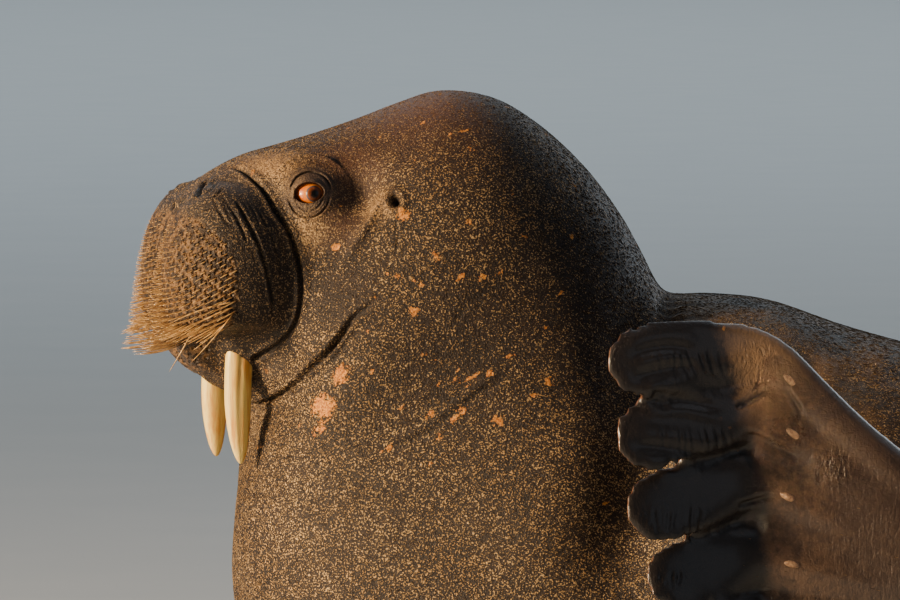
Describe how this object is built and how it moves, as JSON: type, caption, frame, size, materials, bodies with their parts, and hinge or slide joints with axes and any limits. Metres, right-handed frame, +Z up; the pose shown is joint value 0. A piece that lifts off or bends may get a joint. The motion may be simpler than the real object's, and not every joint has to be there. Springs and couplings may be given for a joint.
{
  "type": "walrus",
  "caption": "Life-size still walrus lying on its belly, head raised and turned a little to its left, short tusks and bristled muzzle, one fore flipper lifted beside the neck.",
  "frame": {"origin": "on the floor under the breast, in the flat where the chest rests", "axes": "-X is the way the animal faces, -Y is its left side, +Z is up"},
  "size_m": [2.536, 1.3224, 0.845],
  "materials": {
    "hide": "matte brown hide with short golden hair",
    "muzzle_skin": "matte grey-brown skin with amber bristles",
    "flipper_skin": "wet and glossy",
    "ivory": "satin ivory with amber streaks",
    "claw": "satin horn",
    "eye": "wet"
  },
  "bodies": {
    "root": {"chest": "hide", "eye_left": "eye", "eye_right": "eye", "fore_arm_left": "hide", "fore_arm_right": "hide", "fore_claw_left_1": "claw", "fore_claw_left_2": "claw", "fore_claw_left_3": "claw", "fore_claw_left_4": "claw", "fore_claw_left_5": "claw", "fore_claw_right_1": "claw", "fore_claw_right_2": "claw", "fore_claw_right_3": "claw", "fore_claw_right_4": "claw", "fore_claw_right_5": "claw", "fore_flipper_left": "flipper_skin", "fore_flipper_right": "flipper_skin", "head": "hide", "hind_claw_left_1": "claw", "hind_claw_left_2": "claw", "hind_claw_left_3": "claw", "hind_claw_left_4": "claw", "hind_claw_left_5": "claw", "hind_claw_right_1": "claw", "hind_claw_right_2": "claw", "hind_claw_right_3": "claw", "hind_claw_right_4": "claw", "hind_claw_right_5": "claw", "hind_flipper_left": "flipper_skin", "hind_flipper_right": "flipper_skin", "hind_leg_left": "hide", "hind_leg_right": "hide", "loins": "hide", "lower_jaw": "hide", "muzzle_left": "muzzle_skin", "muzzle_right": "muzzle_skin", "neck": "hide", "rump": "hide", "tail": "hide", "torso": "hide", "tusk_left": "ivory", "tusk_right": "ivory"}
  },
  "joints": []
}
